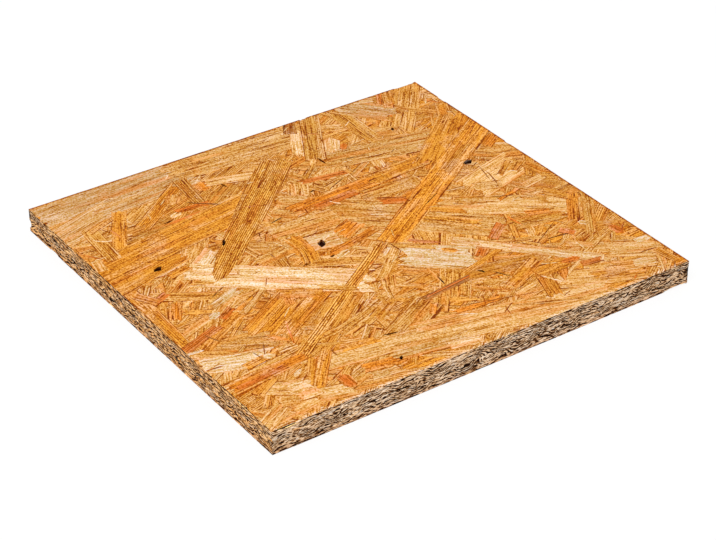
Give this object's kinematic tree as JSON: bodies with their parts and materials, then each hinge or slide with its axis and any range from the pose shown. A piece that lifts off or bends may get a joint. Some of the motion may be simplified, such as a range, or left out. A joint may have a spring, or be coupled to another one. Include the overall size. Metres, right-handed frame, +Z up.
{
  "type": "oriented strand board",
  "caption": "Rectangular offcut of oriented strand board: a flat pressed panel with pitted faces, sawn edges that show gaps between strands, and slightly broken corners.",
  "frame": {"origin": "middle of the lower face", "axes": "+X along the longer sides, +Y along the shorter sides, +Z up through the thickness"},
  "size_m": [0.28, 0.263, 0.015],
  "materials": {
    "pressed_strands": "pressed softwood strands in clear resin, straw to orange, satin faces and dull sawn edges"
  },
  "bodies": {
    "root": {"board": "pressed_strands"}
  },
  "joints": []
}
